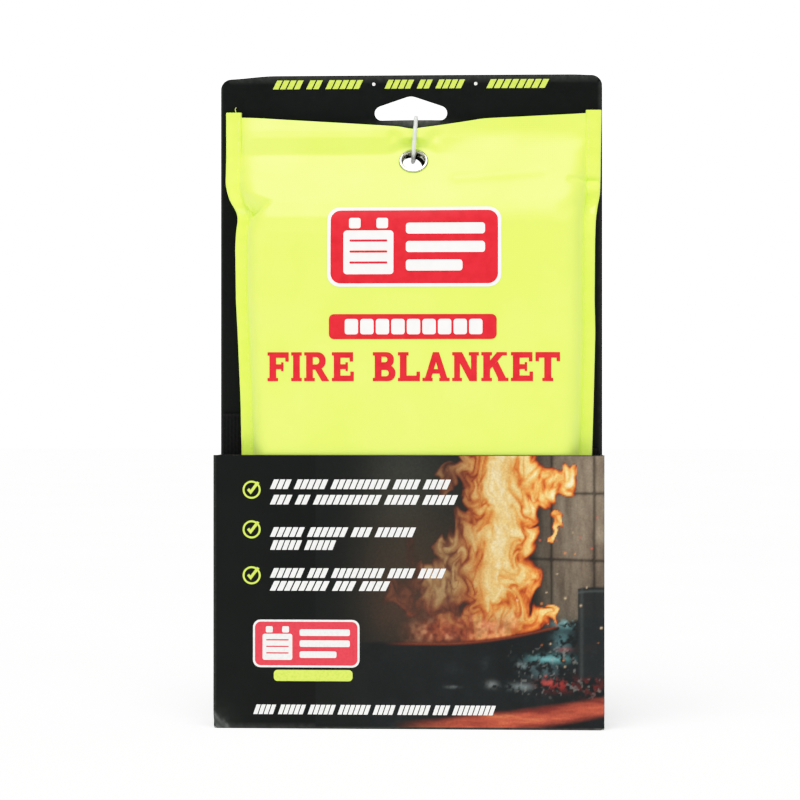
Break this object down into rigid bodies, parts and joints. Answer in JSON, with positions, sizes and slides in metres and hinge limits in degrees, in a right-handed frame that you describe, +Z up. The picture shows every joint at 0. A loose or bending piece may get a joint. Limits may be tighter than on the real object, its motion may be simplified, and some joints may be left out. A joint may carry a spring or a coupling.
{
  "type": "fire blanket",
  "caption": "Folded fire blanket in a soft yellow pouch, standing in the pocket of a printed black hanging card, with pull tapes, an eyelet and a plastic loop.",
  "frame": {"origin": "under the middle of the pocket's floor, on the surface that the pack stands on", "axes": "+Z up towards the hang slot, +X to the right seen from the front, front towards -Y"},
  "size_m": [0.1684, 0.0317, 0.285],
  "materials": {
    "printed_board": "satin print lacquer over black ink",
    "raw_board": "uncoated grey back of the board",
    "pouch_cloth": "fluorescent yellow coated cloth",
    "glass_cloth": "woven glass fibre",
    "webbing": "ribbed polypropylene webbing",
    "thread": "polyester thread",
    "eyelet_metal": "bright nickel plate",
    "clear_plastic": "translucent natural plastic"
  },
  "bodies": {
    "card": {"back_panel": "printed_board", "front_panel": "printed_board", "pocket_floor": "printed_board", "left_pocket_side": "printed_board", "left_glue_flap": "raw_board", "right_pocket_side": "printed_board", "right_glue_flap": "raw_board", "loop_strand": "clear_plastic", "loop_lock": "clear_plastic"},
    "blanket": {"folded_blanket": "glass_cloth", "left_pull_tape": "webbing", "left_tape_tack": "thread", "right_pull_tape": "webbing", "right_tape_tack": "thread"},
    "pouch": {"pouch_front": "pouch_cloth", "pouch_back": "pouch_cloth", "front_mouth_hem": "pouch_cloth", "back_mouth_hem": "pouch_cloth", "left_binding": "pouch_cloth", "right_binding": "pouch_cloth", "eyelet": "eyelet_metal", "eyelet_washer": "eyelet_metal"}
  },
  "joints": [
    {"name": "lift_from_pocket", "type": "slide", "parent": "card", "child": "blanket", "axis": [0, 0, 1], "range_m": [0, 0.27], "deforming": ["loop_strand"]},
    {"name": "pull_off_pouch", "type": "slide", "parent": "blanket", "child": "pouch", "axis": [0, 0, 1], "range_m": [0, 0.27]}
  ]
}
